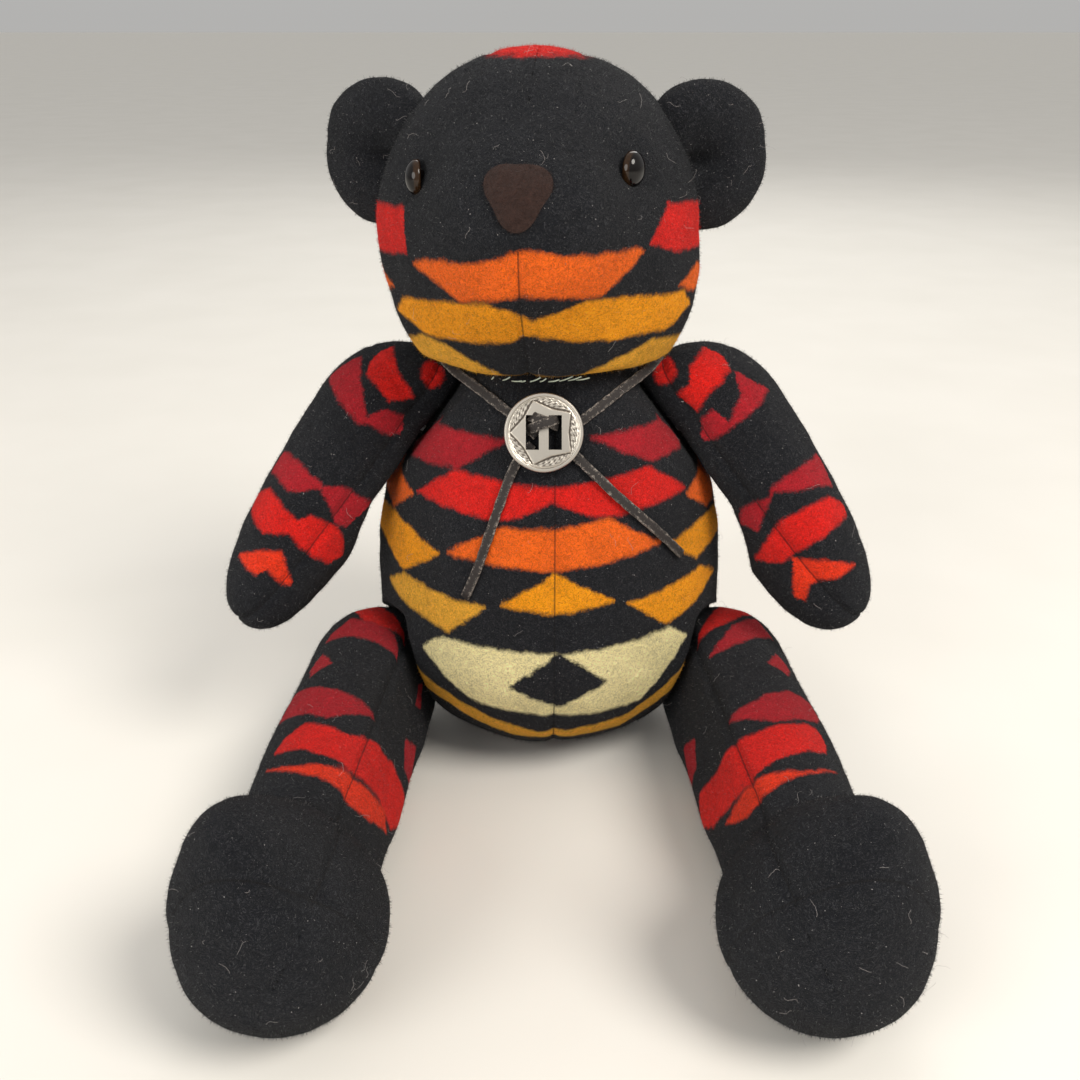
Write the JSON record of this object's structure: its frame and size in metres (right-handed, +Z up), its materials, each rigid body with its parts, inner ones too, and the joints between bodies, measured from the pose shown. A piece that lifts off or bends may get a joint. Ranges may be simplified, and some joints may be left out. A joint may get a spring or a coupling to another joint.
{
  "type": "jointed teddy bear",
  "caption": "Sitting jointed teddy bear sewn from banded wool blanket cloth, with safety eyes, a felt nose and a leather lace with a slotted silver disc.",
  "frame": {"origin": "middle of the flat bottom the bear sits on, on the axis of its body", "axes": "+Z up, -Y the way the bear faces, +X towards the bear's own left side"},
  "size_m": [0.2328, 0.258, 0.249],
  "materials": {
    "patterned_blanket": "napped wool, woven in bands of black, crimson, red, orange, gold and cream",
    "black_blanket": "napped black wool",
    "nose_felt": "short brown plush",
    "stuffing": "loose white polyester fill",
    "hardboard": "smooth pressed hardboard",
    "plated_steel": "zinc plated",
    "silver": "polished high parts on a darkened, stippled ground",
    "leather_lace": "matt, with a rough flesh side",
    "eye_plastic": "glossy dark brown with an amber rim"
  },
  "bodies": {
    "torso": {"body_front_left": "patterned_blanket", "body_front_right": "patterned_blanket", "body_back_left": "patterned_blanket", "body_back_right": "patterned_blanket", "body_stuffing": "stuffing", "neck_disc_lower": "hardboard", "neck_washer_lower": "plated_steel", "left_shoulder_body_disc": "hardboard", "right_shoulder_body_disc": "hardboard", "left_hip_body_disc": "hardboard", "right_hip_body_disc": "hardboard", "limb_body_washers": "plated_steel", "lace_neck_loop": "leather_lace", "concho": "silver", "lace_tail_left": "leather_lace", "lace_tail_right": "leather_lace"},
    "head": {"head_left_side": "patterned_blanket", "head_right_side": "patterned_blanket", "head_gusset": "patterned_blanket", "head_stuffing": "stuffing", "left_ear_front": "black_blanket", "left_ear_back": "black_blanket", "left_ear_stuffing": "stuffing", "right_ear_front": "black_blanket", "right_ear_back": "black_blanket", "right_ear_stuffing": "stuffing", "nose_patch": "nose_felt", "left_eye": "eye_plastic", "right_eye": "eye_plastic", "eye_lock_washers": "plated_steel", "neck_disc_upper": "hardboard", "neck_washer_upper": "plated_steel", "neck_cotter_pin": "plated_steel"},
    "left_arm": {"left_arm_outer": "patterned_blanket", "left_arm_inner": "patterned_blanket", "left_arm_stuffing": "stuffing", "left_arm_disc": "hardboard", "left_arm_washer": "plated_steel", "left_arm_cotter_pin": "plated_steel"},
    "right_arm": {"right_arm_outer": "patterned_blanket", "right_arm_inner": "patterned_blanket", "right_arm_stuffing": "stuffing", "right_arm_disc": "hardboard", "right_arm_washer": "plated_steel", "right_arm_cotter_pin": "plated_steel"},
    "left_leg": {"left_leg_outer": "patterned_blanket", "left_leg_inner": "patterned_blanket", "left_foot_sole": "black_blanket", "left_leg_stuffing": "stuffing", "left_leg_disc": "hardboard", "left_leg_washer": "plated_steel", "left_leg_cotter_pin": "plated_steel"},
    "right_leg": {"right_leg_outer": "patterned_blanket", "right_leg_inner": "patterned_blanket", "right_foot_sole": "black_blanket", "right_leg_stuffing": "stuffing", "right_leg_disc": "hardboard", "right_leg_washer": "plated_steel", "right_leg_cotter_pin": "plated_steel"}
  },
  "joints": [
    {"name": "neck_turn", "type": "hinge", "parent": "torso", "child": "head", "pos_m": [-0.004, -0.012, 0.15215], "axis": [0, 0, 1], "range_deg": [-45, 45]},
    {"name": "left_shoulder", "type": "hinge", "parent": "torso", "child": "left_arm", "pos_m": [0.046, -0.008, 0.122], "axis": [-0.788, 0, -0.6157], "range_deg": [-55, 66]},
    {"name": "right_shoulder", "type": "hinge", "parent": "torso", "child": "right_arm", "pos_m": [-0.046, -0.008, 0.122], "axis": [-0.788, 0, 0.6157], "range_deg": [-60, 61]},
    {"name": "left_hip", "type": "hinge", "parent": "torso", "child": "left_leg", "pos_m": [0.0465, -0.022, 0.031], "axis": [-0.9744, -0.0853, 0.2079], "range_deg": [-60, 30]},
    {"name": "right_hip", "type": "hinge", "parent": "torso", "child": "right_leg", "pos_m": [-0.0465, -0.022, 0.031], "axis": [-0.9744, 0.0853, -0.2079], "range_deg": [-60, 30]}
  ]
}
